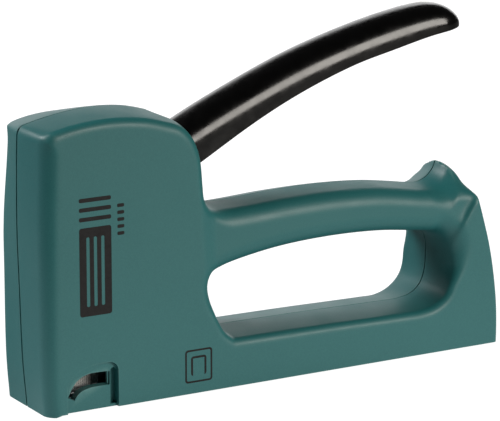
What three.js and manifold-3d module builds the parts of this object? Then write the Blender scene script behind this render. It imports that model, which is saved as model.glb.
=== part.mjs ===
// A light-duty hand staple gun: two moulded casing halves round a lever, a sprung striker and a
// pull-out magazine. Millimetres. X runs back from the nose, Y across the tool, Z up from its base.
import * as THREE from "three";
import { mergeVertices } from "three/addons/utils/BufferGeometryUtils.js";
import Module from "manifold-3d";

const wasm = await Module();
wasm.setup();

// ---------------------------------------------------------------- driving dimensions
const NOSE = -2.4; // furthest point forward, on the bulging front wall
const TAIL = 166.3; // furthest point back
const HALF_WIDTH = 16;
const FOOT = 1; // the nose reaches this far below the base
const FOOT_LENGTH = 7.5;
const SEAM = 0.15; // half the gap between the casing halves
const INNER_HALF = 13.4; // from the mid-plane to the inside of a side wall
const GRIP_HALF = 14.2;
const SLOT_HALF = 10; // lever slot in the top of the tower
const SLOT_FRONT = 52; // X of the centre of the slot's round front end

const PIVOT = [45, 68]; // lever pivot, X and Z
const LIFT = [14, 55]; // lift pin through the plunger
const LEVER_HALF = 9;
const LEVER_END = 157.2;
const LEVER_ROUND = 9.5; // length of the rounded end in plan
const SHEET = 1.5; // the lever's sheet steel
const PIN_R = 2.5;
const LIFT_R = 2;

const STAPLE_CROWN = 10.6;
const STAPLE_LEG = 8;
const STAPLE_WIRE = 0.7;
const CROWN_Z = 12.3; // top of the staples in the magazine
const STRIP_FRONT = 5.5;
const STRIP_LENGTH = 40;

const BLADE_X = [4.4, 5.2];
const BLADE_HALF = 5.2;
const PLUNGER_X = [8, 20];
const PLUNGER_Z = [44, 60];
const SPRING_X = 14;
const SEAT_Z = 86.6;

const RAIL_HALF = 4.35;
const RAIL_Z = [0.6, 11.3];
const RAIL_X = [6.2, 156.4];
const CHANNEL_HALF = [5.6, 6.4]; // inside and outside of the channel's walls
const CHANNEL_X = [6.9, 154.4];
const CHANNEL_TOP = [12.6, 13.4];
const BAY_TOP = 13.7;
const ROD_Z = 6.8;
const PUSHER_X = [46.4, 62.4];

const CAP_PIN = [153.6, 3.6]; // holds the end cap's tongue in the rail

const SCREWS = [
  [32, 82.6],
  [31, 27],
  [72, 49.6],
  [141.5, 47.2],
  [155.4, 33],
];
const CHANNEL_PINS = { channel_pin_front: [26, 18.5], channel_pin_rear: [153.4, 18.5] };

// ---------------------------------------------------------------- materials
const standard = (color, roughness, metalness) =>
  new THREE.MeshStandardMaterial({ color, roughness, metalness });
const casingPlastic = standard(0x3f6b69, 0.55, 0);
const blackLacquer = standard(0x0b0b0c, 0.22, 0.1);
const brightSteel = standard(0xb9bcc0, 0.32, 1);
const springSteel = standard(0x84878c, 0.38, 1);
const zincSteel = standard(0xa9adaf, 0.4, 1);
const stapleWire = standard(0xc9ccd0, 0.28, 1);
const blackPlastic = standard(0x17191a, 0.5, 0);
const rubber = standard(0x202020, 0.85, 0);

// ---------------------------------------------------------------- solids
const vector = ([a, b]) => new THREE.Vector2(a, b);

// A closed three.js geometry as a manifold solid.
function solid(geometry) {
  const bare = geometry.clone();
  bare.deleteAttribute("normal");
  bare.deleteAttribute("uv");
  const merged = mergeVertices(bare, 1e-4);
  return new wasm.Manifold(
    new wasm.Mesh({
      numProp: 3,
      vertProperties: merged.attributes.position.array,
      triVerts: new Uint32Array(merged.index.array),
    }),
  );
}

const join = (...solids) => solids.reduce((a, b) => a.add(b));
const cut = (body, ...tools) => tools.reduce((a, b) => a.subtract(b), body);
const spin = (body, x, y, z) => body.rotate([x, y, z]);
const bothSides = (make) => join(make(-1), make(1));

function box([x0, x1], [y0, y1], [z0, z1]) {
  const geometry = new THREE.BoxGeometry(x1 - x0, y1 - y0, z1 - z0);
  geometry.translate((x0 + x1) / 2, (y0 + y1) / 2, (z0 + z1) / 2);
  return solid(geometry);
}

// The outline (X, Z) as a plate from y0 to y1.
function plate(points, [y0, y1]) {
  const geometry = new THREE.ExtrudeGeometry(new THREE.Shape(points.map(vector)), {
    depth: y1 - y0,
    bevelEnabled: false,
  });
  geometry.rotateX(Math.PI / 2);
  geometry.translate(0, y1, 0);
  return solid(geometry);
}

// The outline (X, Z) as a slab across the mid-plane, its long edges rounded by `round`.
function pillow(points, half, round) {
  const geometry = new THREE.ExtrudeGeometry(new THREE.Shape(points.map(vector)), {
    depth: 2 * (half - round),
    bevelThickness: round,
    bevelSize: round,
    bevelOffset: -round,
    bevelSegments: 2,
  });
  geometry.rotateX(Math.PI / 2);
  geometry.translate(0, half - round, 0);
  return solid(geometry);
}

// A round bar across the tool, at (x, z).
function crossBar([x, z], radius, [y0, y1], sides = 20) {
  const geometry = new THREE.CylinderGeometry(radius, radius, y1 - y0, sides);
  geometry.translate(x, (y0 + y1) / 2, z);
  return solid(geometry);
}

// A round bar along the tool, at (y, z).
function longBar([x0, x1], [y, z], radius, sides = 16) {
  const geometry = new THREE.CylinderGeometry(radius, radius, x1 - x0, sides);
  geometry.rotateZ(Math.PI / 2);
  geometry.translate((x0 + x1) / 2, y, z);
  return solid(geometry);
}

// A solid skin over rings of the same number of points, with flat ends. Each ring runs
// anticlockwise when seen from the side that the first end faces.
function loft(rings, flatten) {
  const count = rings[0].length;
  const cap = THREE.ShapeUtils.triangulateShape(rings[0].map(flatten), []);
  const faces = [];
  for (const [a, b, c] of cap) {
    faces.push(a, b, c);
  }
  for (let r = 0; r + 1 < rings.length; r++) {
    for (let i = 0; i < count; i++) {
      const j = (i + 1) % count;
      const near = r * count;
      const far = near + count;
      faces.push(near + i, far + i, far + j, near + i, far + j, near + j);
    }
  }
  const last = (rings.length - 1) * count;
  const farCap = THREE.ShapeUtils.triangulateShape(rings[rings.length - 1].map(flatten), []);
  for (const [a, b, c] of farCap) {
    faces.push(last + a, last + c, last + b);
  }
  const geometry = new THREE.BufferGeometry();
  const positions = new Float32Array(rings.flat(2));
  geometry.setAttribute("position", new THREE.BufferAttribute(positions, 3));
  geometry.setIndex(faces);
  return solid(geometry);
}

// Round wire along a smooth path.
class WirePath extends THREE.Curve {
  constructor(place) {
    super();
    this.place = place;
  }
  getPoint(t) {
    return new THREE.Vector3(...this.place(t));
  }
}

function wire(path, radius, steps, sides) {
  const section = new THREE.Shape();
  section.absarc(0, 0, radius, 0, 2 * Math.PI);
  const geometry = new THREE.ExtrudeGeometry(section, {
    steps,
    curveSegments: sides,
    extrudePath: path,
    bevelEnabled: false,
  });
  return solid(geometry);
}

// ---------------------------------------------------------------- casing
// The casing's outline is given twice, on the mid-plane and at its sides; between them it
// follows a quarter ellipse, which crowns the front, the top, the grip and the hole's rim.
const smooth = (points, steps) =>
  new THREE.SplineCurve(points.map(vector)).getPoints(steps).map((p) => [p.x, p.y]);

function outline(pieces) {
  return pieces.flatMap(([points, steps]) => smooth(points, steps));
}

const midProfile = outline([
  [[[0, -FOOT], [TAIL, -FOOT]], 1],
  [[[TAIL, 1], [166.1, 12], [163.6, 30], [160.3, 43], [156.6, 54.8]], 8],
  [[[153, 59], [150.3, 60.1], [147.2, 55.4], [143.2, 53.8], [132.8, 54.9]], 6],
  [[[120, 56.8], [106, 57.8], [82, 57.7], [66, 57.2]], 6],
  [[[59.2, 59.2], [57.9, 65], [57.3, 73.5], [54.6, 80.6], [49.4, 86.2]], 6],
  [[[42, 89.1], [32, 91], [21, 91.4], [4, 89]], 6],
  [[[-1.2, 86.8], [-1.9, 82], [NOSE, 55], [-2, 40], [-1.2, 13.6]], 6],
]);
const sideProfile = outline([
  [[[5.5, -FOOT], [165.2, -FOOT]], 1],
  [[[165.2, 1], [164.4, 14], [161.6, 32], [157.4, 44.5], [153.6, 49.6]], 8],
  [[[151.6, 50.4], [148.4, 50.4], [145.6, 48.8], [142, 47.6], [132.8, 48.4]], 6],
  [[[120, 50.2], [106, 51], [82, 51], [66, 51.2]], 6],
  [[[55, 55], [53.8, 61], [52.2, 71.5], [49.6, 77.4], [45.6, 81]], 6],
  [[[39, 83.8], [31, 85.6], [21, 86.2], [9, 85]], 6],
  [[[6.8, 82], [6.2, 72], [5.5, 55], [5.3, 40], [5.3, 13.6]], 6],
]);
const midHole = outline([
  [[[66, 16], [130, 15.6]], 1],
  [[[135.5, 15.3], [140, 16.3], [145, 20], [146.6, 25], [146.8, 33]], 7],
  [[[146, 38.5], [142, 41], [132.4, 41.2]], 3],
  [[[121, 42.5], [103, 43.1], [85, 42.4], [67.4, 39.9]], 5],
  [[[60.8, 38.6], [57.8, 36], [57.6, 31], [60.2, 23.6], [62.6, 18.6]], 5],
]);
const sideHole = outline([
  [[[64, 13.9], [130, 13.7]], 1],
  [[[134.7, 13.5], [140, 14.6], [145.8, 19], [147.2, 25], [148, 33]], 7],
  [[[148.6, 41], [144, 44.6], [132.4, 44]], 3],
  [[[121, 45], [103, 45.6], [85, 45], [67.4, 42.6]], 5],
  [[[59.4, 41.4], [56, 37], [55.6, 31], [57.4, 25], [60, 19]], 5],
]);
const WIDTH_STEPS = [-1, -0.94, -0.8, -0.55, 0, 0.55, 0.8, 0.94, 1];

function crowned(mid, side) {
  const rings = WIDTH_STEPS.map((t) => {
    const blend = 1 - Math.sqrt(1 - t * t);
    return mid.map(([x, z], i) => [
      x + (side[i][0] - x) * blend,
      t * HALF_WIDTH,
      z + (side[i][1] - z) * blend,
    ]);
  });
  return loft(rings, ([x, , z]) => vector([x, z]));
}

// The side panel's edge behind the finger hole.
const panelEdge = (z) => 147 + 0.0155 * (z - 24) ** 2;
const panelHeights = [28, 34, 40, 46, 51];
const gripSide = [
  [54.6, 66],
  [56, 36],
  [100, 30],
  [145, 26],
  ...panelHeights.map((z) => [panelEdge(z), z]),
  [172, 52.5],
  [172, 66],
];

// Arched recess at the nose, and the curved slot in it that shows how many staples are left.
const recess = [
  [6.4, -3],
  [6.4, 9.3],
  [8.6, 11.8],
  [11.6, 13.5],
  [15.8, 14.5],
  [20.4, 14.3],
  [22.8, 13],
  [23.4, 11],
  [23.4, -3],
];
const viewSlot = [
  [7, 3.4],
  [9.2, 3.4],
  [10.8, 5.6],
  [13.7, 6.6],
  [21.2, 6.8],
  [21.2, 11.1],
  [13.8, 11.2],
  [10.3, 9.7],
  [8.4, 7.6],
];

// Hollows inside the casing.
const towerHollow = [
  [2.6, -3],
  [51.5, -3],
  [51.5, 30],
  [52.4, 52],
  [51.6, 68],
  [48.4, 77],
  [41, 85.4],
  [32, 88],
  [21, 89],
  [6, 88.2],
  [1.2, 84],
  [0.6, 55],
  [1.2, 24],
];
const gripHollow = [
  [47, 44.6],
  [62, 43.4],
  [85, 45.8],
  [112, 46],
  [152, 43.6],
  [152, 50.4],
  [133, 52],
  [106, 54.9],
  [80, 54.8],
  [47, 53.6],
];
const pillarHollow = [
  [150, -3],
  [163.4, -3],
  [161.6, 20],
  [158.4, 38],
  [154.6, 49],
  [151.4, 50],
  [150.4, 36],
  [149.6, 24],
];
// Room for the lever inside the tower, under the slot in its top.
const leverWell = [
  [39.4, 82],
  [39.4, 62],
  [57, 60.4],
  [66, 60.4],
  [66, 82],
];

// The span across the tool from `near` to `far` off the mid-plane, on the side -1 (left) or +1.
const offMiddle = (side, near, far) => (side < 0 ? [-far, -near] : [near, far]);
const OUTSIDE = 30; // beyond the casing's sides

// The casing's outer form, solid.
function casingForm() {
  return cut(
    crowned(midProfile, sideProfile),
    crowned(midHole, sideHole),
    ...[-1, 1].map((side) => plate(gripSide, offMiddle(side, GRIP_HALF, OUTSIDE))),
  );
}

// The slot in the top of the tower: a round front end, open to the rear.
function leverOpening() {
  const front = new THREE.CylinderGeometry(SLOT_HALF, SLOT_HALF, 20, 36);
  front.rotateX(Math.PI / 2);
  front.translate(SLOT_FRONT, 0, 90);
  return join(solid(front), box([SLOT_FRONT, 70], [-SLOT_HALF, SLOT_HALF], [80, 100]));
}

function casingBody(form) {
  const floor = 1.6;
  const above = box([-10, 200], [-OUTSIDE, OUTSIDE], [floor, 120]);
  return cut(
    form,
    box([FOOT_LENGTH, 200], [-OUTSIDE, OUTSIDE], [-5, 0]),
    ...[-1, 1].flatMap((side) => [
      plate(recess, offMiddle(side, HALF_WIDTH - 1.2, OUTSIDE)),
      plate(viewSlot, offMiddle(side, 11, OUTSIDE)),
    ]),
    pillow(towerHollow, INNER_HALF, 3).intersect(above),
    pillow(gripHollow, GRIP_HALF - 2.4, 2.5),
    pillow(pillarHollow, INNER_HALF, 2).intersect(above),
    plate(leverWell, [-SLOT_HALF, SLOT_HALF]),
    leverOpening(),
    box([8, 163], [-7.2, 7.2], [floor, BAY_TOP]),
    box([8, 163], [-INNER_HALF, INNER_HALF], [floor, 11.8]),
    box([8, 150], [-4.9, 4.9], [-3, 3]),
    box([2.6, 8.1], [-8.4, 8.4], [-3, 3]),
    box([149, 170], [-7, 7], [-3, 13.2]),
    box([159.4, 163.4], [-3, 3], [13, 14.3]),
  );
}

// Ribs, bosses and posts inside one half.
function fittings(side) {
  const span = (near, far) => offMiddle(side, near, far);
  const wall = INNER_HALF + 0.6;
  const bayRibs = [40, 68, 96, 124].map((x) => box([x, x + 1.6], span(6.8, wall), [1, 12.4]));
  const pinBosses = Object.values(CHANNEL_PINS).map((at) => crossBar(at, 3, span(8, wall)));
  const posts = SCREWS.map((at) => crossBar(at, side < 0 ? 3.4 : 4.2, span(0.3, wall)));
  return join(
    ...bayRibs,
    ...pinBosses,
    ...posts,
    crossBar(PIVOT, 5.6, span(9.4, wall), 28),
    box([7, 22], span(8.2, wall), [29.4, 33.6]),
    box([4.4, 6.4], span(6.9, wall), [12, 42]),
    box([5.6, 22.4], span(7.2, 12.8), [88.3, 89.4]),
  );
}

function borings(side) {
  const span = (near, far) => offMiddle(side, near, far);
  const pinHoles = Object.values(CHANNEL_PINS).map((at) => crossBar(at, 1.62, span(4, 12.4)));
  const screwHoles = SCREWS.map((at) =>
    side < 0
      ? crossBar(at, 1.6, [-11.2, 1])
      : join(crossBar(at, 1.75, [-1, 20]), crossBar(at, 3.1, [9.2, 20])),
  );
  return [...pinHoles, ...screwHoles, crossBar(PIVOT, PIN_R + 0.08, span(6, 12.6), 28)];
}

function shell(form, side) {
  const half = box([-20, 200], offMiddle(side, SEAM, OUTSIDE), [-20, 120]);
  const walls = casingBody(form).intersect(half);
  const inside = fittings(side).intersect(form).intersect(half);
  return cut(join(walls, inside), ...borings(side));
}

// ---------------------------------------------------------------- screws
function screw([x, z]) {
  const head = join(crossBar([x, z], 2.75, [9.4, 11]), crossBar([x, z], 2.2, [10.9, 11.6]));
  const recessArm = box([x - 1.7, x + 1.7], [10.5, 12], [z - 0.35, z + 0.35]);
  const recessCross = box([x - 0.35, x + 0.35], [10.5, 12], [z - 1.7, z + 1.7]);
  return cut(join(head, crossBar([x, z], 1.45, [-9.6, 9.5], 14)), recessArm, recessCross);
}

// ---------------------------------------------------------------- lever
// Top and bottom of the lever's side view, from inside the tower to the rounded end.
const leverTop = [
  [42, 78.1],
  [53, 84.6],
  [77, 95.3],
  [96.5, 102.6],
  [116.5, 108.3],
  [130, 111.4],
  [140.3, 113.2],
  [146.5, 113.5],
  [151, 112.4],
  [154.3, 110.2],
  [LEVER_END, 105.6],
];
const leverBottom = [
  [42, 63.9],
  [56.6, 71.7],
  [75.3, 81.9],
  [88.3, 88.2],
  [101.4, 93.5],
  [114.7, 97.9],
  [128, 101],
  [150, 104.6],
  [LEVER_END, 104.8],
];
function heightAt(points, x) {
  const curve = smooth(points, 120);
  const next = Math.max(1, curve.findIndex(([px]) => px >= x));
  const [x0, z0] = curve[next - 1];
  const [x1, z1] = curve[next];
  return z0 + ((z1 - z0) * (x - x0)) / (x1 - x0);
}

function leverHalfWidth(x) {
  const along = Math.max(0, (x - (LEVER_END - LEVER_ROUND)) / LEVER_ROUND);
  return LEVER_HALF * Math.sqrt(Math.max(0.02, 1 - along * along));
}

// One cross-section of the lever: flat sides under a rounded top.
function leverRing(x, inset, drop) {
  const half = leverHalfWidth(x) - inset;
  const top = heightAt(leverTop, x) - inset;
  const bottom = heightAt(leverBottom, x) - drop;
  const shoulder = Math.min(4.6, (top - bottom) * 0.8);
  const steps = 5;
  const ring = [[x, -half, bottom], [x, half, bottom]];
  for (let i = 0; i <= steps; i++) {
    const angle = (i / steps) * (Math.PI / 2);
    ring.push([x, half * Math.cos(angle) ** 0.55, top - shoulder * (1 - Math.sin(angle))]);
  }
  for (let i = steps - 1; i >= 0; i--) {
    const angle = (i / steps) * (Math.PI / 2);
    ring.push([x, -half * Math.cos(angle) ** 0.55, top - shoulder * (1 - Math.sin(angle))]);
  }
  return ring;
}

function leverBar(stations, inset, drop) {
  const rings = stations.map((x) => leverRing(x, inset, drop));
  // Seen from the front, the rings run clockwise, so the loft starts at the rear end.
  return loft(rings.reverse(), ([, y, z]) => vector([y, z]));
}

function lever() {
  const along = [50, 58, 68, 80, 92, 104, 116, 128, 140, 146, 150, 153];
  const stations = [42, ...along, 155, 156.4, LEVER_END];
  const hollowStations = [40, ...along];
  const [px, pz] = PIVOT;
  const [lx, lz] = LIFT;
  const reach = Math.hypot(px - lx, pz - lz);
  const slope = THREE.MathUtils.radToDeg(Math.atan2(pz - lz, px - lx));
  // An arm is drawn level, with the pivot at the origin, then turned and moved into place.
  const level = [
    [-reach - 3.8, -4],
    [-reach + 6, -4.4],
    [0, -6],
    [5, -3],
    [0, 6],
    [-12, 5],
    [-reach - 3.8, 4],
  ];
  const fork = [
    [-reach - 6, -LIFT_R - 0.55],
    [-reach + 5.2, -LIFT_R - 0.55],
    [-reach + 6.4, 0],
    [-reach + 5.2, LIFT_R + 0.55],
    [-reach - 6, LIFT_R + 0.55],
  ];
  const arm = (span) => cut(plate(level, span), plate(fork, [-20, 20]));
  const arms = join(arm([-LEVER_HALF, SHEET - LEVER_HALF]), arm([LEVER_HALF - SHEET, LEVER_HALF]));
  const placed = spin(arms, 0, -slope, 0).translate([px, 0, pz]);
  const bar = cut(leverBar(stations, 0, 0), leverBar(hollowStations, SHEET, 12));
  return cut(join(bar, placed), crossBar(PIVOT, PIN_R + 0.08, [-20, 20], 28));
}

// A torsion spring on the pivot pin: one leg bears on the tower's rear wall, the other lifts
// the lever.
function leverReturnSpring() {
  const [px, pz] = PIVOT;
  const coil = 4.3;
  const turns = 5 - 1 / 12;
  const half = 4.6;
  const points = [new THREE.Vector3(50.2, -half, 56)];
  const count = Math.round(turns * 12);
  for (let i = 0; i <= count; i++) {
    const angle = (i / 12) * 2 * Math.PI;
    points.push(
      new THREE.Vector3(
        px + coil * Math.cos(angle),
        -half + (2 * half * i) / count,
        pz + coil * Math.sin(angle),
      ),
    );
  }
  points.push(new THREE.Vector3(56.4, half, 79.6));
  return wire(new THREE.CatmullRomCurve3(points, false, "centripetal"), 0.6, 84, 3);
}

// ---------------------------------------------------------------- striker
function plunger() {
  const body = box(PLUNGER_X, [-7, 7], PLUNGER_Z);
  const lug = box([5.5, 8.1], [-4.5, 4.5], [44.6, 52]);
  const tooth = box([4.2, 5.6], [-2.7, 2.7], [47.3, 50.2]);
  return cut(join(body, lug, tooth), crossBar(LIFT, LIFT_R + 0.08, [-20, 20], 20));
}

function driverBlade() {
  const window = box([4, 6], [-3, 3], [47, 50.5]);
  return cut(box(BLADE_X, [-BLADE_HALF, BLADE_HALF], [-0.7, 54]), window);
}

function mainSpring() {
  const [low, high] = [PLUNGER_Z[1] + 1.3, SEAT_Z - 1.3];
  const turns = 6;
  const radius = 6;
  const path = new WirePath((t) => [
    SPRING_X + radius * Math.cos(2 * Math.PI * turns * t),
    radius * Math.sin(2 * Math.PI * turns * t),
    low + (high - low) * t,
  ]);
  return wire(path, 1, turns * 14, 4);
}

function springSeat() {
  const profile = [
    [0, 73.5],
    [3.1, 73.5],
    [3.7, 74.4],
    [3.7, SEAT_Z],
    [8, SEAT_Z],
    [8, SEAT_Z + 1.4],
    [0, SEAT_Z + 1.4],
  ];
  const geometry = new THREE.LatheGeometry(profile.map(vector), 24);
  geometry.rotateX(Math.PI / 2);
  geometry.translate(SPRING_X, 0, 0);
  return solid(geometry);
}

const bumper = () =>
  pillow([[7.6, 35.6], [20.8, 35.6], [20.8, 43.6], [7.6, 43.6]], 7.4, 1);

const frontPlate = () =>
  plate([[2.9, -0.7], [4.1, -0.7], [4.1, 44], [2.9, 44]], [-8, 8]);

const bladeGuide = () =>
  join(
    box([5.5, 6.5], [-6.4, 6.4], [14.2, 35.2]),
    box([6, 8], [-6.4, 6.4], [34, 35.2]),
    box([6.8, 22], [-9.6, 9.6], [34, 35.2]),
  );

// ---------------------------------------------------------------- magazine
function magazineChannel() {
  const [inner, outer] = CHANNEL_HALF;
  const section = cut(
    box(CHANNEL_X, [-outer, outer], [1.9, CHANNEL_TOP[1]]),
    box([0, 200], [-inner, inner], [0, CHANNEL_TOP[0]]),
    box([7.6, 21.5], [-20, 20], [3, 11.3]),
  );
  const ears = Object.values(CHANNEL_PINS).flatMap(([x, z]) =>
    [-1, 1].map((side) => {
      const span = side < 0 ? [-outer, -inner] : [inner, outer];
      const [low, high] = [x - 3.4, x + 3.4];
      const ear = [
        [low, 13],
        [high, 13],
        [high, z + 1],
        [x + 1.8, z + 3.2],
        [x - 1.8, z + 3.2],
        [low, z + 1],
      ];
      return plate(ear, span);
    }),
  );
  const holes = Object.values(CHANNEL_PINS).map((at) => crossBar(at, 1.62, [-20, 20]));
  return cut(join(section, ...ears), ...holes);
}

function stapleStrip() {
  const half = STAPLE_CROWN / 2;
  const span = [STRIP_FRONT, STRIP_FRONT + STRIP_LENGTH];
  const inner = half - STAPLE_WIRE;
  return cut(
    box(span, [-half, half], [CROWN_Z - STAPLE_LEG, CROWN_Z]),
    box([0, 100], [-inner, inner], [0, CROWN_Z - STAPLE_WIRE]),
  );
}

function magazineRail() {
  const inner = RAIL_HALF - 0.8;
  const trough = cut(
    box(RAIL_X, [-RAIL_HALF, RAIL_HALF], RAIL_Z),
    box([RAIL_X[0] + 0.8, 200], [-inner, inner], [RAIL_Z[0] + 0.8, 40]),
  );
  return cut(trough, crossBar(CAP_PIN, 1.15, [-20, 20]));
}

const guideRod = () => longBar([RAIL_X[0] + 1.1, 154.6], [0, ROD_Z], 1.2);

function pusher() {
  const half = BLADE_HALF;
  const saddle = cut(
    box(PUSHER_X, [-half, half], [4.6, CROWN_Z]),
    bothSides((side) => box([0, 200], offMiddle(side, 3.3, 4.62), [0, 11.6])),
  );
  return cut(saddle, longBar([0, 200], [0, ROD_Z], 1.34, 16));
}

function pusherSpring() {
  const [front, rear] = [PUSHER_X[1] + 0.6, 148.8];
  const turns = 24;
  const path = new WirePath((t) => [
    front + (rear - front) * t,
    2.15 * Math.cos(2 * Math.PI * turns * t),
    ROD_Z + 2.15 * Math.sin(2 * Math.PI * turns * t),
  ]);
  return wire(path, 0.35, turns * 10, 2);
}

function magazineEndCap() {
  const block = pillow(
    [[156.8, 1.5], [165, 1.5], [165.5, 3], [165.5, 11.4], [164.4, 12.9], [156.8, 12.9]],
    6.7,
    0.8,
  );
  const tongue = box([149.2, 157.6], [-3.3, 3.3], [1.7, 10.9]);
  const grips = [3.6, 5.6, 7.6, 9.6].map((z) => box([164.9, 170], [-5, 5], [z, z + 0.9]));
  return cut(
    join(block, tongue),
    ...grips,
    longBar([140, 155], [0, ROD_Z], 1.34, 16),
    crossBar(CAP_PIN, 1.15, [-20, 20]),
    box([157.4, 164.2], [-2.8, 2.8], [11.2, 20]),
  );
}

// A leaf of spring steel whose hump clicks into the casing above the magazine's tail.
function catchSpring() {
  const leaf = [
    [157.8, 11.5],
    [163.9, 11.5],
    [163.9, 12],
    [163.2, 12],
    [161.8, 13.9],
    [161.1, 13.9],
    [159.6, 12],
    [157.8, 12],
  ];
  return plate(leaf, [-2.4, 2.4]);
}

// ---------------------------------------------------------------- assembly
const gun = new THREE.Group();

function add(name, body, material) {
  const { numProp, vertProperties, triVerts } = body.getMesh();
  const positions = new Float32Array((vertProperties.length / numProp) * 3);
  for (let v = 0; v < positions.length / 3; v++) {
    positions.set(vertProperties.subarray(v * numProp, v * numProp + 3), v * 3);
  }
  const geometry = new THREE.BufferGeometry();
  geometry.setAttribute("position", new THREE.BufferAttribute(positions, 3));
  geometry.setIndex(new THREE.BufferAttribute(triVerts, 1));
  geometry.computeVertexNormals();
  const mesh = new THREE.Mesh(geometry, material);
  mesh.name = name;
  gun.add(mesh);
}

const form = casingForm();
add("left_shell", shell(form, -1), casingPlastic);
add("right_shell", shell(form, 1), casingPlastic);
SCREWS.forEach((at, i) => add(`shell_screw_${i + 1}`, screw(at), zincSteel));

add("lever", lever(), blackLacquer);
add("lever_pivot_pin", crossBar(PIVOT, PIN_R, [-12.3, 12.3], 28), brightSteel);
add("lever_return_spring", leverReturnSpring(), springSteel);

add("plunger", plunger(), zincSteel);
add("lift_pin", crossBar(LIFT, LIFT_R, [-9.6, 9.6], 20), brightSteel);
add("driver_blade", driverBlade(), brightSteel);
add("main_spring", mainSpring(), springSteel);
add("spring_seat", springSeat(), zincSteel);
add("bumper", bumper(), rubber);
add("front_plate", frontPlate(), brightSteel);
add("blade_guide", bladeGuide(), zincSteel);

add("magazine_channel", magazineChannel(), zincSteel);
Object.entries(CHANNEL_PINS).forEach(([name, at]) =>
  add(name, crossBar(at, 1.5, [-12.2, 12.2]), brightSteel),
);
add("staple_strip", stapleStrip(), stapleWire);
add("magazine_rail", magazineRail(), brightSteel);
add("guide_rod", guideRod(), brightSteel);
add("magazine_end_cap", magazineEndCap(), blackPlastic);
add("cap_pin", crossBar(CAP_PIN, 1, [-4.3, 4.3], 14), brightSteel);
add("catch_spring", catchSpring(), springSteel);
add("pusher", pusher(), blackPlastic);
add("pusher_spring", pusherSpring(), springSteel);

// The row frame's origin is under the middle of the tool, level with the nose's foot.
gun.position.set(-(NOSE + TAIL) / 2, 0, FOOT);

export default gun;
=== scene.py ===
"""The looks of a hand staple gun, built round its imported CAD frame.

Shapes are drawn in millimetres in the tool's own frame: X runs back from the nose, Y across it and
Z up from its base. place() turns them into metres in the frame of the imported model.
"""

import math

import bpy
import numpy as np
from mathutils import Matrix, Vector


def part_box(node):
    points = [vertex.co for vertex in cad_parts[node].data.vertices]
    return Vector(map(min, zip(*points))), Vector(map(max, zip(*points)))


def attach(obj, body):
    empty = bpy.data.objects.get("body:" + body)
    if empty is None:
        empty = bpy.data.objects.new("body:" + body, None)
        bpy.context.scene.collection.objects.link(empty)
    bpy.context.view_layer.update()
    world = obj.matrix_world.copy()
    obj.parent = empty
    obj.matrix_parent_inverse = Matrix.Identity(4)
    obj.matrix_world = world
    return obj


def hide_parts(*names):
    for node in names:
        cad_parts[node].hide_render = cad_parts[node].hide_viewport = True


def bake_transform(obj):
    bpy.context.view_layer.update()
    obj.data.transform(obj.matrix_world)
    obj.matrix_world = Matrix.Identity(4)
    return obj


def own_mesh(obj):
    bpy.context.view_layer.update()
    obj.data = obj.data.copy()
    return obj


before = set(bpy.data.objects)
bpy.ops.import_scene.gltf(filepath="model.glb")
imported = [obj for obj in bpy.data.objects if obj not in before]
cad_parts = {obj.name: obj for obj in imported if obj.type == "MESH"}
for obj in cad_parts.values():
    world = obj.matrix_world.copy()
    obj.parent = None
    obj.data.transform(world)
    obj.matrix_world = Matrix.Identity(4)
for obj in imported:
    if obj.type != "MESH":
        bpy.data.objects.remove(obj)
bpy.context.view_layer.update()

# ---------------------------------------------------------------- driving dimensions
MM = 0.001
PIVOT = (45, 68)  # lever pivot, X and Z
PIVOT_BORE = 2.58  # radius of the holes for its pin
LIFT = (14, 55)  # lift pin
HALF_WIDTH = 16
GRIP_HALF = 14.2
SEAM = 0.25  # half the gap between the casing halves
BASE = -0.35  # Z of the casing's underside
FOOT_DROP = 1  # how far the nose's foot reaches below zero
FOOT_LENGTH = 7.5  # X where the foot ends
FOOT_SIDE_LENGTH = 2.4  # X where it ends at the sides
FOOT_HALF = 9.5  # half the width of its long part
WALL = 2.2
SCREWS = ((32, 82.6), (31, 27), (72, 49.6), (141.5, 47.2), (155.4, 33))
NET_STEP = 0.7  # cell of the casing's outer surface
HOLLOW_STEP = 1.5  # cell of its inside surface
FIELD_STEP = 0.25  # grid of the distance fields

pin_low, pin_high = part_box("lever_pivot_pin")
ORIGIN = np.array((pin_low + pin_high) / 2) - np.array((PIVOT[0], 0, PIVOT[1])) * MM


def place(points):
    """Points in the tool's frame, in millimetres, as metres in the row frame."""
    return np.asarray(points, float) * MM + ORIGIN


# ---------------------------------------------------------------- camera
AZIMUTH = math.radians(-30)
ELEVATION = math.radians(14)
DISTANCE = 1.0
AIM = (79.95, 0, 51.74)  # the camera looks at this point
FOCAL_LENGTH = 225.7  # on a sensor 36 mm wide


def add_camera():
    back = Vector(
        (
            math.sin(AZIMUTH) * math.cos(ELEVATION),
            -math.cos(AZIMUTH) * math.cos(ELEVATION),
            math.sin(ELEVATION),
        )
    )
    lens = bpy.data.cameras.new("camera")
    lens.sensor_fit = "HORIZONTAL"
    lens.sensor_width = 36
    lens.lens = FOCAL_LENGTH
    camera = bpy.data.objects.new("camera", lens)
    camera.location = Vector(place(AIM)) + back * DISTANCE
    camera.rotation_euler = back.to_track_quat("Z", "Y").to_euler()
    bpy.context.scene.collection.objects.link(camera)
    bpy.context.scene.camera = camera


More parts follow.
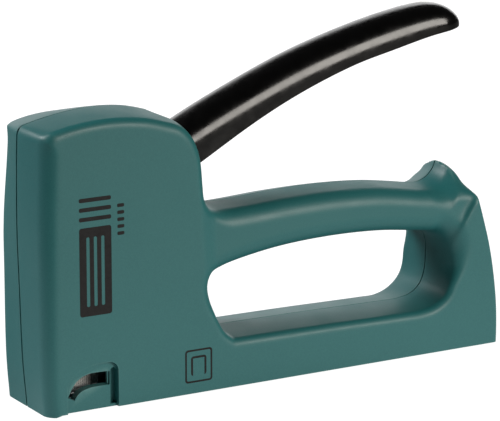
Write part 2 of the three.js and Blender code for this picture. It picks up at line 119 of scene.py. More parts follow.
# ---------------------------------------------------------------- curves
def spline(points, steps=8):
    """A smooth open curve through points (centripetal Catmull-Rom)."""
    p = np.array(points, float)
    chord = np.diff(p, axis=0)
    knot = np.sqrt(np.linalg.norm(chord, axis=1))[:, None]
    slope = chord / knot
    inner = (slope[:-1] * knot[1:] + slope[1:] * knot[:-1]) / (knot[:-1] + knot[1:])
    first = 1.5 * slope[:1] - 0.5 * inner[:1]
    last = 1.5 * slope[-1:] - 0.5 * inner[-1:]
    slopes = np.vstack([first, inner, last])
    t = np.linspace(0, 1, steps, endpoint=False)[:, None]
    pieces = []
    for i in range(len(chord)):
        pieces.append(
            (2 * t**3 - 3 * t**2 + 1) * p[i]
            + (t**3 - 2 * t**2 + t) * slopes[i] * knot[i]
            + (3 * t**2 - 2 * t**3) * p[i + 1]
            + (t**3 - t**2) * slopes[i + 1] * knot[i]
        )
    return np.vstack([*pieces, p[-1:]])


def closed(*stretches):
    """One closed outline from stretches laid end to end; points repeated at a join are dropped."""
    points = np.vstack([np.asarray(stretch, float) for stretch in stretches])
    to_next = np.linalg.norm(np.roll(points, -1, axis=0) - points, axis=1)
    return points[to_next > 1e-6]


def arc(centre, radius, start, end, steps=8):
    """Points on an arc, its angles in degrees anticlockwise from the first axis."""
    angles = np.radians(np.linspace(start, end, steps + 1))
    return np.stack(
        [centre[0] + radius * np.cos(angles), centre[1] + radius * np.sin(angles)], axis=1
    )


# ---------------------------------------------------------------- casing surface
# The casing's outline on the mid-plane. It is open below the base, which is cut flat later.
front_and_top = [
    (0.2, -8), (-0.1, 0), (-1.2, 13.6), (-2, 40), (-2.4, 56), (-2.2, 74), (-1.95, 83),
    (-1.65, 86.4), (-0.5, 88.05), (2, 88.85), (13, 90.95), (24, 91.8), (34, 91.05), (42, 89.05),
    (48.3, 86.8), (52.6, 82.9), (55, 78.2), (56.2, 73.5), (56.8, 65.5), (57.2, 61.7),
    (58.6, 59), (61.2, 57.4), (65.5, 56.8), (73, 56.9), (88, 57.6), (106, 57.7), (121.2, 56.8),
    (132.8, 55.1), (139, 54.05), (143.2, 53.8), (146.2, 54.8), (148.8, 57), (150.3, 60.1),
]
rear = [
    (150.3, 60.1), (153, 59), (155.5, 56.5), (157.3, 53), (158.5, 49), (160.3, 43), (163, 33),
    (165, 22), (166.1, 12), (166.3, 3), (165.9, -8),
]
hole_outline = [
    (66, 15.9), (100, 15.55), (130, 15), (136, 15), (141, 16), (144.6, 18.6), (146.4, 22.8),
    (147, 28.5), (146.9, 33), (145.4, 36.9), (141.8, 38.8), (132.4, 40.3), (121, 41.6), (103, 42.1),
    (85, 41.2), (70, 39), (63.4, 37.4), (60, 35.8), (58.4, 33), (58.4, 29), (59.6, 25),
    (61.6, 20.8), (63.4, 18),
]
DEPTH_BELOW = -40  # the outline's open end, far below the base


class Field:
    """Signed distance to a closed outline in the XZ plane, negative inside it."""

    low = (-9.0, -7.0)  # corners of its grid
    high = (174.0, 100.0)

    def __init__(self, outline):
        xs = np.arange(self.low[0], self.high[0], FIELD_STEP)
        zs = np.arange(self.low[1], self.high[1], FIELD_STEP)
        x, z = np.meshgrid(xs, zs, indexing="ij")
        nearest = np.full(x.shape, np.inf)
        inside = np.zeros(x.shape, bool)
        for (ax, az), (bx, bz) in zip(outline, np.roll(outline, -1, axis=0)):
            ex, ez = bx - ax, bz - az
            along = np.clip(((x - ax) * ex + (z - az) * ez) / (ex * ex + ez * ez), 0, 1)
            nearest = np.minimum(nearest, (x - ax - along * ex) ** 2 + (z - az - along * ez) ** 2)
            if az != bz:
                inside ^= ((az > z) != (bz > z)) & (x < ax + (z - az) * ex / ez)
        self.values = np.sqrt(nearest) * np.where(inside, -1, 1)

    def __call__(self, x, z):
        u = np.clip((x - self.low[0]) / FIELD_STEP, 0, self.values.shape[0] - 1.001)
        v = np.clip((z - self.low[1]) / FIELD_STEP, 0, self.values.shape[1] - 1.001)
        i, j = u.astype(int), v.astype(int)
        u, v = u - i, v - j
        f = self.values
        return (f[i, j] * (1 - u) + f[i + 1, j] * u) * (1 - v) + (
            f[i, j + 1] * (1 - u) + f[i + 1, j + 1] * u
        ) * v


def ease(start, end, value):
    """0 at start and 1 at end, with a smooth turn at each."""
    t = np.clip((value - start) / (end - start), 0, 1)
    return t * t * (3 - 2 * t)


def mix(a, b, share):
    return a + (b - a) * share


def rounded_max(a, b, radius):
    """The corner where two half-spaces meet, rounded to a radius."""
    a = a + radius
    b = b + radius
    return np.hypot(np.maximum(a, 0), np.maximum(b, 0)) + np.minimum(np.maximum(a, b), 0) - radius


def crown(x, y, z):
    """How far the outline has drawn in at y from the mid-plane; the far half falls away more."""
    ridge = np.sqrt(y * y + 1) - 1
    far = np.sqrt(np.maximum(y, 0) ** 2 + 0.25) - 0.5
    bulge = 0.8 * np.clip((z - 5) / 50, 0, 1) + 0.25 * ease(50, 82, z)
    front = (0.06 * ridge + 0.0053 * y * y) * bulge + 0.12 * far * ease(50, 88, z)
    top = (0.03 * ridge + 0.004 * y * y) * (0.5 + 0.7 * ease(5, 35, x))
    top = top + mix(0.12, 0.2, ease(5, 35, x)) * far
    tower = mix(front, top, ease(80, 89, z) * ease(-2, 3, x))
    grip = 0.03 * ridge + 0.003 * y * y + 0.2 * far
    beak = 0.06 * ridge + np.where(y < 0, 0.017, 0.005) * y * y + 0.2 * far
    back = 0.0032 * y * y
    beak = mix(beak, back, ease(55, 50, z) * ease(147, 153, x))
    return mix(mix(tower, grip, ease(55, 66, x)), beak, ease(140, 149, x))


def panel_edge(z):
    """X of the side panel's front edge, behind the finger hole."""
    return 147 + 0.0155 * (z - 24) ** 2


def half_width(x, z):
    """From the mid-plane to the side: the grip is narrower than the tower and the rear panel,
    and narrows again up the beak behind it."""
    off_tower = ease(0, 7, x - 54 + (z - 36) / 16)
    before = rounded_max(panel_edge(z) - x, z - 51.8, 1.2)
    before = (before + np.sqrt(before * before + 0.2)) / 2
    off_panel = 1 - np.exp(-before / mix(1, 3.4, ease(36, 47, z) * ease(153, 147, x)))
    narrow = GRIP_HALF - 4.6 * ease(49, 57, z) * ease(140, 150, x)
    return HALF_WIDTH - (HALF_WIDTH - narrow) * off_tower * off_panel * ease(22, 32, z)


def casing_surface(outer, hole):
    """The casing's outside as a function that is negative inside it."""

    def surface(x, y, z):
        # Radius of the outer edges: larger down the front and along the grip, small at the tail.
        nose = ease(15, 4, x) * ease(-3, 3, 88 - z - x)
        along_grip = ease(57, 66, x) * ease(158, 152, x) * ease(20, 40, z)
        edge = mix(mix(2.4, 4.6, nose), 1.2, ease(150, 158, x))
        edge = mix(edge, 5 - ease(140, 149, x), along_grip)
        # The beak narrows less on the far side.
        fuller = np.where(y > 0, 2.6, 0) * ease(49, 57, z) * ease(140, 150, x)
        side = np.abs(y) - half_width(x, z) - fuller
        body = rounded_max(side, outer(x, z) + crown(x, y, z), edge)
        # The finger hole opens to both sides: at its rear more to the near side, at its bottom more
        # to the far side.
        rim = mix(2.2, 5, ease(24, 36, z))
        hole_rear = ease(140, 145, x) * ease(20, 28, z)
        hole_bottom = ease(26, 18, z) * ease(147, 134, x)
        draw = (0.0045 + hole_rear * np.where(y < 0, 0.009, -0.0022)) * y * y
        draw = draw + 0.09 * np.maximum(y, 0) * hole_bottom
        return rounded_max(body, draw - hole(x, z), rim)

    return surface


def surface_net(surface, step, low, high):
    """A closed quad mesh where surface is zero, its vertices moved on to it."""
    axes = [np.arange(a, b + step, step) for a, b in zip(low, high)]
    grid = np.meshgrid(*axes, indexing="ij", sparse=True)
    values = surface(*grid)
    inside = values < 0
    cells = tuple(n - 1 for n in values.shape)
    total = np.zeros(cells + (3,))
    count = np.zeros(cells)
    crossings = []
    for axis in range(3):
        near = [slice(None)] * 3
        far = [slice(None)] * 3
        near[axis] = slice(0, -1)
        far[axis] = slice(1, None)
        a, b = values[tuple(near)], values[tuple(far)]
        cross = inside[tuple(near)] != inside[tuple(far)]
        share = np.where(cross, a / np.where(cross, a - b, 1), 0)
        crossings.append((cross, inside[tuple(near)]))
        others = [k for k in range(3) if k != axis]
        for du in (0, 1):
            for dv in (0, 1):
                block_of_cells = [slice(None)] * 3
                block_of_cells[others[0]] = slice(du, du + cells[others[0]])
                block_of_cells[others[1]] = slice(dv, dv + cells[others[1]])
                hit = cross[tuple(block_of_cells)]
                count += hit
                total[..., axis] += hit * share[tuple(block_of_cells)]
                total[..., others[0]] += hit * du
                total[..., others[1]] += hit * dv
    used = count > 0
    index = np.full(cells, -1)
    index[used] = np.arange(used.sum())
    vertices = np.argwhere(used) + total[used] / count[used][:, None]
    vertices = vertices * step + np.array(low)
    faces = []
    for axis, (cross, first_inside) in enumerate(crossings):
        u, v = [(1, 2), (2, 0), (0, 1)][axis]
        at = np.argwhere(cross)
        keep = (at[:, u] > 0) & (at[:, v] > 0) & (at[:, u] < cells[u]) & (at[:, v] < cells[v])
        at = at[keep]
        step_u = np.eye(3, dtype=int)[u]
        step_v = np.eye(3, dtype=int)[v]
        corners = [at, at - step_u, at - step_u - step_v, at - step_v]
        quads = np.stack([index[tuple(c.T)] for c in corners], axis=1)
        outward = first_inside[tuple(at.T)]
        quads[~outward] = quads[~outward][:, ::-1]
        faces.append(quads)
    for _ in range(3):
        vertices = step_to_surface(surface, vertices, step / 2)
    return vertices, np.vstack(faces).tolist()


def step_to_surface(surface, points, most):
    """One Newton step of each point towards the zero of surface."""
    probe = 0.05
    value = surface(*points.T)
    slope = np.stack(
        [
            surface(*(points + shift).T) - surface(*(points - shift).T)
            for shift in np.eye(3) * probe
        ],
        axis=1,
    ) / (2 * probe)
    steep = np.maximum((slope**2).sum(1), 0.2)
    move = -(value / steep)[:, None] * slope
    length = np.linalg.norm(move, axis=1)[:, None]
    return points + move * np.minimum(1, most / np.maximum(length, 1e-9))


# ---------------------------------------------------------------- meshes
BEVEL_ANGLE = 40  # edges sharper than this are bevelled
SHARP_ANGLE = 32  # and those sharper than this are shaded as edges


def mesh_object(name, vertices, faces):
    mesh = bpy.data.meshes.new(name)
    mesh.from_pydata(np.asarray(vertices, float).tolist(), [], faces)
    mesh.update()
    piece = bpy.data.objects.new(name, mesh)
    bpy.context.scene.collection.objects.link(piece)
    return piece


def loft(rings, name="tool"):
    """A closed solid through rings of the same number of points, with flat ends."""
    count = len(rings[0])
    vertices = np.vstack(rings)
    faces = [list(range(count))[::-1]]
    for r in range(len(rings) - 1):
        for i in range(count):
            j = (i + 1) % count
            a = r * count
            b = a + count
            faces.append([a + i, a + j, b + j, b + i])
    faces.append([(len(rings) - 1) * count + i for i in range(count)])
    piece = mesh_object(name, vertices, faces)
    outward(piece)
    return piece


def outward(piece):
    """Turns the faces of a closed mesh to point out of it."""
    mesh = piece.data
    count = len(mesh.vertices)
    mesh.calc_loop_triangles()
    co = np.zeros(count * 3)
    mesh.vertices.foreach_get("co", co)
    co = co.reshape(-1, 3)
    triangles = np.zeros(len(mesh.loop_triangles) * 3, np.int32)
    mesh.loop_triangles.foreach_get("vertices", triangles)
    a, b, c = co[triangles.reshape(-1, 3)].transpose(1, 0, 2)
    if np.einsum("ij,ij->i", a, np.cross(b, c)).sum() < 0:
        mesh.flip_normals()


def prism(outline, y0, y1, inner=None):
    """The outline (X, Z) as a plate from y0 to y1; inner is its outline at y1 if that differs."""
    near = np.array([(x, y0, z) for x, z in outline])
    far = np.array([(x, y1, z) for x, z in (outline if inner is None else inner)])
    return loft([near, far])


def block(xs, ys, zs):
    return prism([(xs[0], zs[0]), (xs[1], zs[0]), (xs[1], zs[1]), (xs[0], zs[1])], *ys)


def cross_bar(at, radius, y0, y1):
    """A round bar across the tool."""
    return prism(arc(at, radius, 0, 360, 40)[:-1], y0, y1)


def upright(outline, z0, z1):
    """The outline (X, Y) as a post from z0 to z1."""
    return loft([np.array([(x, y, z) for x, y in outline]) for z in (z0, z1)])


def tube(path, radius, sides):
    """Round wire along a path of points, its ends slightly rounded."""
    path = np.asarray(path, float)
    along = np.gradient(path, axis=0)
    along /= np.linalg.norm(along, axis=1)[:, None]
    up = np.cross(along[0], (0.3, 0.1, 0.95))
    up /= np.linalg.norm(up)
    rings = []
    angles = np.linspace(0, 2 * np.pi, sides, endpoint=False)[:, None]
    for point, direction in zip(path, along):
        up = up - direction * (up @ direction)
        up /= np.linalg.norm(up)
        side = np.cross(direction, up)
        rings.append(point + radius * (np.cos(angles) * up + np.sin(angles) * side))
    first = path[0] + (rings[0] - path[0]) * 0.7 - along[0] * radius * 0.3
    last = path[-1] + (rings[-1] - path[-1]) * 0.7 + along[-1] * radius * 0.3
    return loft([first, *rings, last])


def boolean(piece, operation, *tools):
    """Cuts tools from piece ("DIFFERENCE"), joins them ("UNION") or keeps what they share."""
    for tool in tools:
        modifier = piece.modifiers.new("boolean", "BOOLEAN")
        modifier.operation = operation
        modifier.solver = "MANIFOLD"
        modifier.object = tool
    bake(piece)
    for tool in tools:
        bpy.data.objects.remove(tool)
    return piece


def bake(piece):
    """Applies a piece's modifiers."""
    shown = piece.evaluated_get(bpy.context.evaluated_depsgraph_get())
    mesh = bpy.data.meshes.new_from_object(shown)
    piece.modifiers.clear()
    piece.data = mesh
    return piece


def copy_of(piece, name):
    other = bpy.data.objects.new(name, piece.data.copy())
    bpy.context.scene.collection.objects.link(other)
    return other


def bevel(piece, width, segments):
    modifier = piece.modifiers.new("bevel", "BEVEL")
    modifier.width = width
    modifier.segments = segments
    modifier.angle_limit = math.radians(BEVEL_ANGLE)
    return bake(piece)


def gather(name, tools):
    """Several closed solids as one piece."""
    vertices = []
    faces = []
    for tool in tools:
        start = len(vertices)
        vertices += [tuple(v.co) for v in tool.data.vertices]
        faces += [[start + i for i in p.vertices] for p in tool.data.polygons]
        bpy.data.objects.remove(tool)
    return mesh_object(name, vertices, faces)


def finish_piece(piece, name, body, material, replaces=()):
    """Names a piece, puts it in the row frame, shades it and ties it to the CAD."""
    piece.name = name
    mesh = piece.data
    mesh.name = name
    co = np.zeros(len(mesh.vertices) * 3)
    mesh.vertices.foreach_get("co", co)
    mesh.vertices.foreach_set("co", place(co.reshape(-1, 3)).ravel())
    mesh.update()
    mesh.shade_smooth()
    mesh.set_sharp_from_angle(angle=math.radians(SHARP_ANGLE))
    mesh.materials.clear()
    mesh.materials.append(material)
    if body is not None:
        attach(piece, body)
    if replaces:
        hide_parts(*replaces)
    return piece


# ---------------------------------------------------------------- casing
SLOT_WALL = 12  # the walls round the view slot reach in to here from their sides
RECESS_FLOOR = HALF_WIDTH - 1.2
GUTTER_FLOOR = RECESS_FLOOR - 1.9
FRONT_GAP = 0.42  # half the seam's width down the front
CHANNEL_PINS = ((26, 18.5), (153.4, 18.5))
POST_END = 14  # posts and ribs run into the side walls
GRIP_POST_END = 11.4  # and the grip's posts into its narrower ones
CHANNEL_PIN_BORE = 1.62
THREAD_BORE = 1.6  # the screws' holes in the near half
CLEAR_BORE = 1.75  # and in the far half
HEAD_BORE = 3.1

# Arched recess at the nose and the curved slot in it that shows the staples.
recess = closed(
    [(6.2, -6), (6.2, 9)],
    spline([(6.2, 9), (8.6, 11.7), (11.6, 13.3), (15.8, 14.2), (20.6, 14.4)]),
    arc((21.1, 11.2), 3.2, 90, 0),
    [(24.3, 11.2), (24.3, -6)],
)
view_slot = closed(
    spline([(21.3, 11.2), (17, 11.35), (13.8, 11.2), (10.6, 9.9), (8.6, 7.8), (6.8, 4.6)]),
    [(6.8, 4.6), (9.1, 3.4)],
    spline([(9.1, 3.4), (10.8, 5.5), (13.7, 6.6), (21.3, 6.8)]),
)

# The recess deepens along its rear wall.
gutter = closed(
    [(21.5, 0.5), (21.5, 10)],
    spline([(21.5, 10), (21.7, 11.7), (22.9, 12.4)]),
    [(24.1, 11.2), (24.1, 0.5)],
)


def lean(outline, inset):
    """An outline of the recess at its floor: the rear wall leans in."""
    points = np.array(outline, float)
    points[:, 0] -= inset * ease(15, 24.3, points[:, 0])
    return points


def foot_cut(x):
    """All below the base behind x, where the nose's foot ends in a slope."""
    return [(x, -9), (x, -FOOT_DROP), (x + 1.9, BASE), (180, BASE), (180, -9)]


def base_cuts():
    """All below the base, with the foot left standing at the nose."""
    overlap = 0.1
    return [
        prism(foot_cut(FOOT_LENGTH), -FOOT_HALF, FOOT_HALF),
        prism(foot_cut(FOOT_SIDE_LENGTH), -30, overlap - FOOT_HALF),
        prism(foot_cut(FOOT_SIDE_LENGTH), FOOT_HALF - overlap, 30),
        block((-20, 20), (-30, 30), (-9, -FOOT_DROP)),
    ]


def nose_cuts(side):
    """The recess, the view slot and the gutter on one side of the nose."""
    gutter_top = RECESS_FLOOR + 0.1
    return [
        prism(recess, side * 20, side * RECESS_FLOOR, lean(recess, 0.6)),
        prism(view_slot, side * 18, side * 8),
        prism(gutter, side * gutter_top, side * GUTTER_FLOOR, lean(gutter, 0.4)),
    ]


def casing_body():
    """Both halves of the casing as one body, still joined at the seam."""
    open_end = [(165.9, DEPTH_BELOW), (0.2, DEPTH_BELOW)]
    outer = Field(closed(spline(front_and_top), spline(rear), open_end))
    hole = Field(closed(spline(hole_outline + hole_outline[:1])))
    surface = casing_surface(outer, hole)

    # The outside ends below the base, which is cut flat afterwards.
    def outside(x, y, z):
        return np.maximum(surface(x, y, z), -4 - z)

    def inside(x, y, z):
        return np.maximum(surface(x, y, z) + WALL, 1.6 - z)

    casing = mesh_object(
        "casing", *surface_net(outside, NET_STEP, (-4.2, -17.15, -5.25), (168.4, 17.15, 94.5))
    )
    hollow = mesh_object(
        "hollow", *surface_net(inside, HOLLOW_STEP, (-3, -15.75, 0), (166.5, 15.75, 92))
    )
    for walls in ((-20, -SLOT_WALL), (SLOT_WALL, 20)):
        boolean(hollow, "DIFFERENCE", block((-4, 26.5), walls, (-3, 15)))
    lever_way = closed(arc((52, 0), 10, 90, 270, 32), [(52, -10), (70, -10), (70, 10)])
    boolean(
        casing,
        "DIFFERENCE",
        hollow,
        *base_cuts(),
        upright(lever_way, 60.4, 100),
        *nose_cuts(-1),
        *nose_cuts(1),
        block((-4, 3.4), (-FRONT_GAP, FRONT_GAP), (-9, 87.5)),  # seam down the front
        block((8, 150), (-4.9, 4.9), (-9, 3)),  # under the magazine channel
        block((2.6, 8.1), (-8.4, 8.4), (-9, 3)),  # mouth for the staples
        block((149, 175), (-7, 7), (-9, 13.2)),  # tail end, where the end cap sits
    )
    return casing


def on_grip(at):
    return 60 < at[0] < 150 and at[1] > 40


def casing_half(casing, name, side):
    """One half, with its screw posts, pin bosses and ribs; side is -1 near, 1 far."""

    def span(inner, outer):
        return side * inner, side * outer

    half = copy_of(casing, name)
    boolean(half, "INTERSECT", block((-20, 200), span(SEAM, 40), (-20, 120)))
    post_radius = 3.4 if side < 0 else 4.2
    fittings = []
    for at in SCREWS:
        post_end = GRIP_POST_END if on_grip(at) else POST_END
        fittings.append(cross_bar(at, post_radius, *span(0.3, post_end)))
    fittings += [cross_bar(at, 3, *span(8, POST_END)) for at in CHANNEL_PINS]
    fittings += [block((x, x + 1.6), span(6.8, POST_END), (1, 12.4)) for x in (40, 68, 96, 124)]
    fittings += [
        block((7, 22), span(8.2, POST_END), (29.4, 33.6)),  # ledge under the blade guide
        block((4.4, 6.4), span(6.9, POST_END), (12, 42)),  # rib beside the driver blade
        cross_bar(PIVOT, 5.6, *span(9.4, POST_END)),  # boss round the pivot pin
    ]
    boolean(half, "UNION", gather("fittings", fittings))
    holes = [cross_bar(at, CHANNEL_PIN_BORE, *span(4, 12.4)) for at in CHANNEL_PINS]
    holes.append(cross_bar(PIVOT, PIVOT_BORE, *span(6, 12.6)))
    if side < 0:
        holes += [cross_bar(at, THREAD_BORE, *span(-1, 11.2)) for at in SCREWS]
        boolean(half, "DIFFERENCE", gather("holes", holes))
    else:
        holes += [cross_bar(at, CLEAR_BORE, *span(-1, 12)) for at in SCREWS]
        sinks = [cross_bar(at, HEAD_BORE, *span(9.2, 20)) for at in SCREWS]
        boolean(half, "DIFFERENCE", gather("holes", holes), gather("sinks", sinks))
    return half


# ---------------------------------------------------------------- lever
LEVER_HALF = 9
LEVER_SHEET = 1.5
LEVER_START = 42
LEVER_END = 157.2
LEVER_ROUND = 9.5  # length of its round end in plan
FORK_HALF = 2.55  # half the opening that holds the lift pin
lever_top = spline(
    [(41, 77.3), (53, 84.3), (76.8, 95), (96.5, 102.5), (116.5, 108.2), (130.1, 111.2),
     (140.3, 112.8), (146.5, 113.1), (151, 112.2), (154.3, 110.2), (156.4, 107.7), (157.2, 105.8)],
    24,
)
lever_bottom = spline(
    [(41, 63.3), (56.6, 71.7), (75.3, 81.9), (88.3, 88.1), (101.4, 93.3), (114.7, 97.6),
     (128.1, 100.7), (141.7, 103.7), (150, 104.95), (157.2, 105.6)],
    24,
)


def lever_ring(x, inset, drop):
    """One cross-section of the lever, its sides rolling over into a crowned top."""
    beyond = max(0, (x - LEVER_END + LEVER_ROUND) / LEVER_ROUND)
    half = LEVER_HALF * math.sqrt(max(0.004, 1 - beyond * beyond)) - inset
    top = np.interp(x, *lever_top.T) - inset
    bottom = np.interp(x, *lever_bottom.T) - drop
    roll = min(9, (top - bottom) * 0.85)
    angles = np.radians(np.linspace(0, 180, 37))
    y = half * np.sign(np.cos(angles)) * np.abs(np.cos(angles)) ** 0.8
    z = top - roll + roll * np.sin(angles) ** 0.9
    y = np.concatenate([[half], y, [-half]])
    z = np.concatenate([[bottom], z, [bottom]])
    return np.stack([np.full(len(y), x), y, z], axis=1)


def lever():
    end_angles = np.radians(np.linspace(3, 90, 22))
    stations = list(np.linspace(LEVER_START, LEVER_END - LEVER_ROUND, 70)[:-1])
    stations += list(LEVER_END - LEVER_ROUND + LEVER_ROUND * np.sin(end_angles))
    body = loft([lever_ring(x, 0, 0) for x in stations], "lever")
    # The hollow is the same form, drawn in by the sheet's thickness and open below and in front.
    shorter = 1 - 0.16 * LEVER_SHEET / LEVER_ROUND
    hollow = [LEVER_START - 2 + (x - LEVER_START) * shorter for x in stations]
    boolean(body, "DIFFERENCE", loft([lever_ring(x, LEVER_SHEET, 14) for x in hollow]))
    reach = math.hypot(PIVOT[0] - LIFT[0], PIVOT[1] - LIFT[1])
    slope = math.atan2(PIVOT[1] - LIFT[1], PIVOT[0] - LIFT[0])

    def level(points):
        """Points drawn with the arm level and the pivot at the origin, put in their place."""
        return [
            (
                PIVOT[0] + x * math.cos(slope) - z * math.sin(slope),
                PIVOT[1] + x * math.sin(slope) + z * math.cos(slope),
            )
            for x, z in points
        ]

    tip = -reach - 3.8
    arm = level([(tip, -4), (6 - reach, -4.4), (0, -6), (5, -3), (0, 6), (-12, 5), (tip, 4)])
    fork = level(
        [
            (-reach - 6, -FORK_HALF),
            (5.2 - reach, -FORK_HALF),
            (6.4 - reach, 0),
            (5.2 - reach, FORK_HALF),
            (-reach - 6, FORK_HALF),
        ]
    )
    for side in (-1, 1):
        plate = prism(arm, side * (LEVER_HALF - LEVER_SHEET), side * LEVER_HALF)
        boolean(plate, "DIFFERENCE", prism(fork, -20, 20))
        boolean(body, "UNION", plate)
    return boolean(body, "DIFFERENCE", cross_bar(PIVOT, PIVOT_BORE, -20, 20))


# ---------------------------------------------------------------- springs and staples
MAIN_SPRING_START = 61.3  # Z
MAIN_SPRING_TOP = 86.3
PUSHER_SPRING_START = 63  # X
PUSHER_SPRING_END = 148.8
PUSHER_SPRING_Z = 6.8
RETURN_SPRING_HALF = 4.6


def helix(centre, radius, turns, start, end, axis, per_turn):
    """A compression spring's wire: its first and last turns lie almost flat."""
    t = np.linspace(0, turns, int(turns * per_turn) + 1)
    flat = 0.75  # of a turn, at each end
    low = 0.25 * flat / turns
    rise = np.interp(t, [0, flat, turns - flat, turns], [0, low, 1 - low, 1])
    along = start + (end - start) * rise
    a = centre[0] + radius * np.cos(2 * np.pi * t)
    b = centre[1] + radius * np.sin(2 * np.pi * t)
    return np.stack([a, b, along] if axis == "Z" else [along, a, b], axis=1)


def return_spring():
    """A torsion spring on the pivot: one leg on the casing, the other under the lever."""
    coil = 4.3
    half = RETURN_SPRING_HALF
    angles = 2 * np.pi * np.linspace(0, 5 - 1 / 12, 140)
    x = PIVOT[0] + coil * np.cos(angles)
    z = PIVOT[1] + coil * np.sin(angles)
    y = np.linspace(-half, half, len(angles))
    first = [(50.2, -half, 56), (49.7, -half, 62)]
    last = [(51.2, half, 72.4), (56.4, half, 79.6)]
    return np.vstack([first, np.stack([x, y, z], axis=1), last])


STAPLE_HALF = 5.3
STAPLE_TOP = 12.3
STAPLE_LEG = 8
STAPLE_WIRE = 0.7
STAPLE_ROW = (5.5, 45.5)  # from the first staple to the last


def staple_outline(thick):
    """A staple's outline (Y, Z): a crown, two rounded corners and two chisel-ended legs."""
    middle = STAPLE_HALF - STAPLE_WIRE / 2
    top = STAPLE_TOP - STAPLE_WIRE / 2
    foot = STAPLE_TOP - STAPLE_LEG
    bend = 0.75
    outer, inner = bend + thick, bend - thick
    right_out = arc((middle - bend, top - bend), outer, 0, 90, 6)
    right_in = arc((middle - bend, top - bend), inner, 90, 0, 6)
    left_out = right_out[::-1] * (-1, 1)
    left_in = right_in[::-1] * (-1, 1)
    right_foot = [(middle - thick, foot + 0.5), (middle, foot), (middle + thick, foot + 0.5)]
    left_foot = [(-middle - thick, foot + 0.5), (-middle, foot), (-middle + thick, foot + 0.5)]
    return np.vstack([right_foot, right_out, left_out, left_foot, left_in, right_in])


def staple_strip():
    chamfer = 0.1
    staples = []
    for x in np.arange(STAPLE_ROW[0], STAPLE_ROW[1] - 0.01, STAPLE_WIRE):
        near = x + 0.02
        far = x + STAPLE_WIRE - 0.02
        rings = [
            (near, STAPLE_WIRE / 2 - chamfer), (near + chamfer, STAPLE_WIRE / 2),
            (far - chamfer, STAPLE_WIRE / 2), (far, STAPLE_WIRE / 2 - chamfer),
        ]
        staples.append(
            loft([np.insert(staple_outline(thick), 0, at, axis=1) for at, thick in rings])
        )
    return gather("staple_strip", staples)


# ---------------------------------------------------------------- fasteners and cap
def turned(profile, at):
    """A solid turned round an axis across the tool, its profile as points (radius, Y)."""
    sides = 48
    angles = np.linspace(0, 2 * np.pi, sides, endpoint=False)
    rings = [
        np.stack(
            [at[0] + r * np.cos(angles), np.full(sides, y), at[1] + r * np.sin(angles)], axis=1
        )
        for r, y in profile
    ]
    return loft(rings)


def screw(at):
    """A cross-head screw, its pan head in the far half."""
    shank = [(0.5, -9.6), (1.1, -8.6)]
    for y in np.arange(-8.6, 2, 0.9):
        shank += [(1.15, y), (1.45, y + 0.35), (1.15, y + 0.7)]
    neck = [(1.3, 3), (1.3, 9.4)]
    head = [(2.55, 9.4), (2.75, 9.6), (2.75, 10.5), (2.5, 11.1), (1.9, 11.5), (1, 11.65)]
    body = turned(shank + neck + head, at)
    x, z = at

    def rectangle(wide, high):
        return [
            (x - wide, z - high), (x + wide, z - high), (x + wide, z + high), (x - wide, z + high),
        ]

    for wide, high in ((0.32, 1.75), (1.75, 0.32)):
        slot = prism(rectangle(wide * 0.55, high * 0.55), 10, 12, rectangle(wide, high))
        boolean(body, "DIFFERENCE", slot)
    return body


def end_cap():
    """The black cap on the magazine's tail, grooved to be gripped."""
    profile = [(156.8, 1.5), (165, 1.5), (165.5, 3), (165.5, 11.4), (164.4, 12.9), (156.8, 12.9)]
    body = bevel(prism(profile, -6.7, 6.7), 0.8, 4)
    tongue = bevel(block((149.2, 157.6), (-3.3, 3.3), (1.7, 10.9)), 0.3, 2)
    boolean(body, "UNION", tongue)
    grooves = [
        bevel(block((164.9, 168), (-5, 5), (z, z + 0.9)), 0.25, 2) for z in (3.6, 5.6, 7.6, 9.6)
    ]
    notch = block((157.4, 164.2), (-2.8, 2.8), (11.2, 20))
    return boolean(body, "DIFFERENCE", gather("grooves", grooves), notch)


# ---------------------------------------------------------------- print
PRINT_DEPTH = 0.03
THROUGH_PRINT = (-HALF_WIDTH - 1, -HALF_WIDTH + 1)


def printed(outlines, name):
    """Ink on the near side: thin plates let a hair into it."""
    return gather(name, [prism(o, -HALF_WIDTH - PRINT_DEPTH, -HALF_WIDTH + 0.1) for o in outlines])


def rounded_rectangle(x0, x1, z0, z1, radius):
    return closed(
        arc((x1 - radius, z0 + radius), radius, -90, 0, 5),
        arc((x1 - radius, z1 - radius), radius, 0, 90, 5),
        arc((x0 + radius, z1 - radius), radius, 90, 180, 5),
        arc((x0 + radius, z0 + radius), radius, 180, 270, 5),
    )


def print_panel():
    """A plain dark label with three light stripes, with ticks above it and beside it."""
    left = 10.8
    right = 21.8
    panel = printed([rounded_rectangle(left, right, 30, 58, 0.8)], "print_panel")
    stripes = [
        prism(rounded_rectangle(x, x + 1.1, 33, 55, 0.5), *THROUGH_PRINT)
        for x in (13.2, 15.75, 18.3)
    ]
    boolean(panel, "DIFFERENCE", gather("stripes", stripes))
    ticks = [rounded_rectangle(left, right, z, z + 1.3, 0.5) for z in (60, 63, 66)]
    ticks += [rounded_rectangle(23.9, 26.3, z, z + 1.1, 0.4) for z in np.arange(54.4, 65, 2.2)]
    return gather("print_panel", [panel, printed(ticks, "ticks")])


def print_staple():
    """A small outline of a staple in a frame."""
    border = printed([rounded_rectangle(47.3, 57, 3.2, 14, 1)], "print_staple")
    window = rounded_rectangle(47.9, 56.4, 3.8, 13.4, 0.6)
    boolean(border, "DIFFERENCE", prism(window, *THROUGH_PRINT))
    staple = printed([rounded_rectangle(49.4, 54.9, 5.4, 11.8, 0.9)], "staple")
    between_legs = [(50.1, 0), (54.2, 0), (54.2, 11.1), (50.1, 11.1)]
    boolean(staple, "DIFFERENCE", prism(between_legs, *THROUGH_PRINT))
    return gather("print_staple", [border, staple])


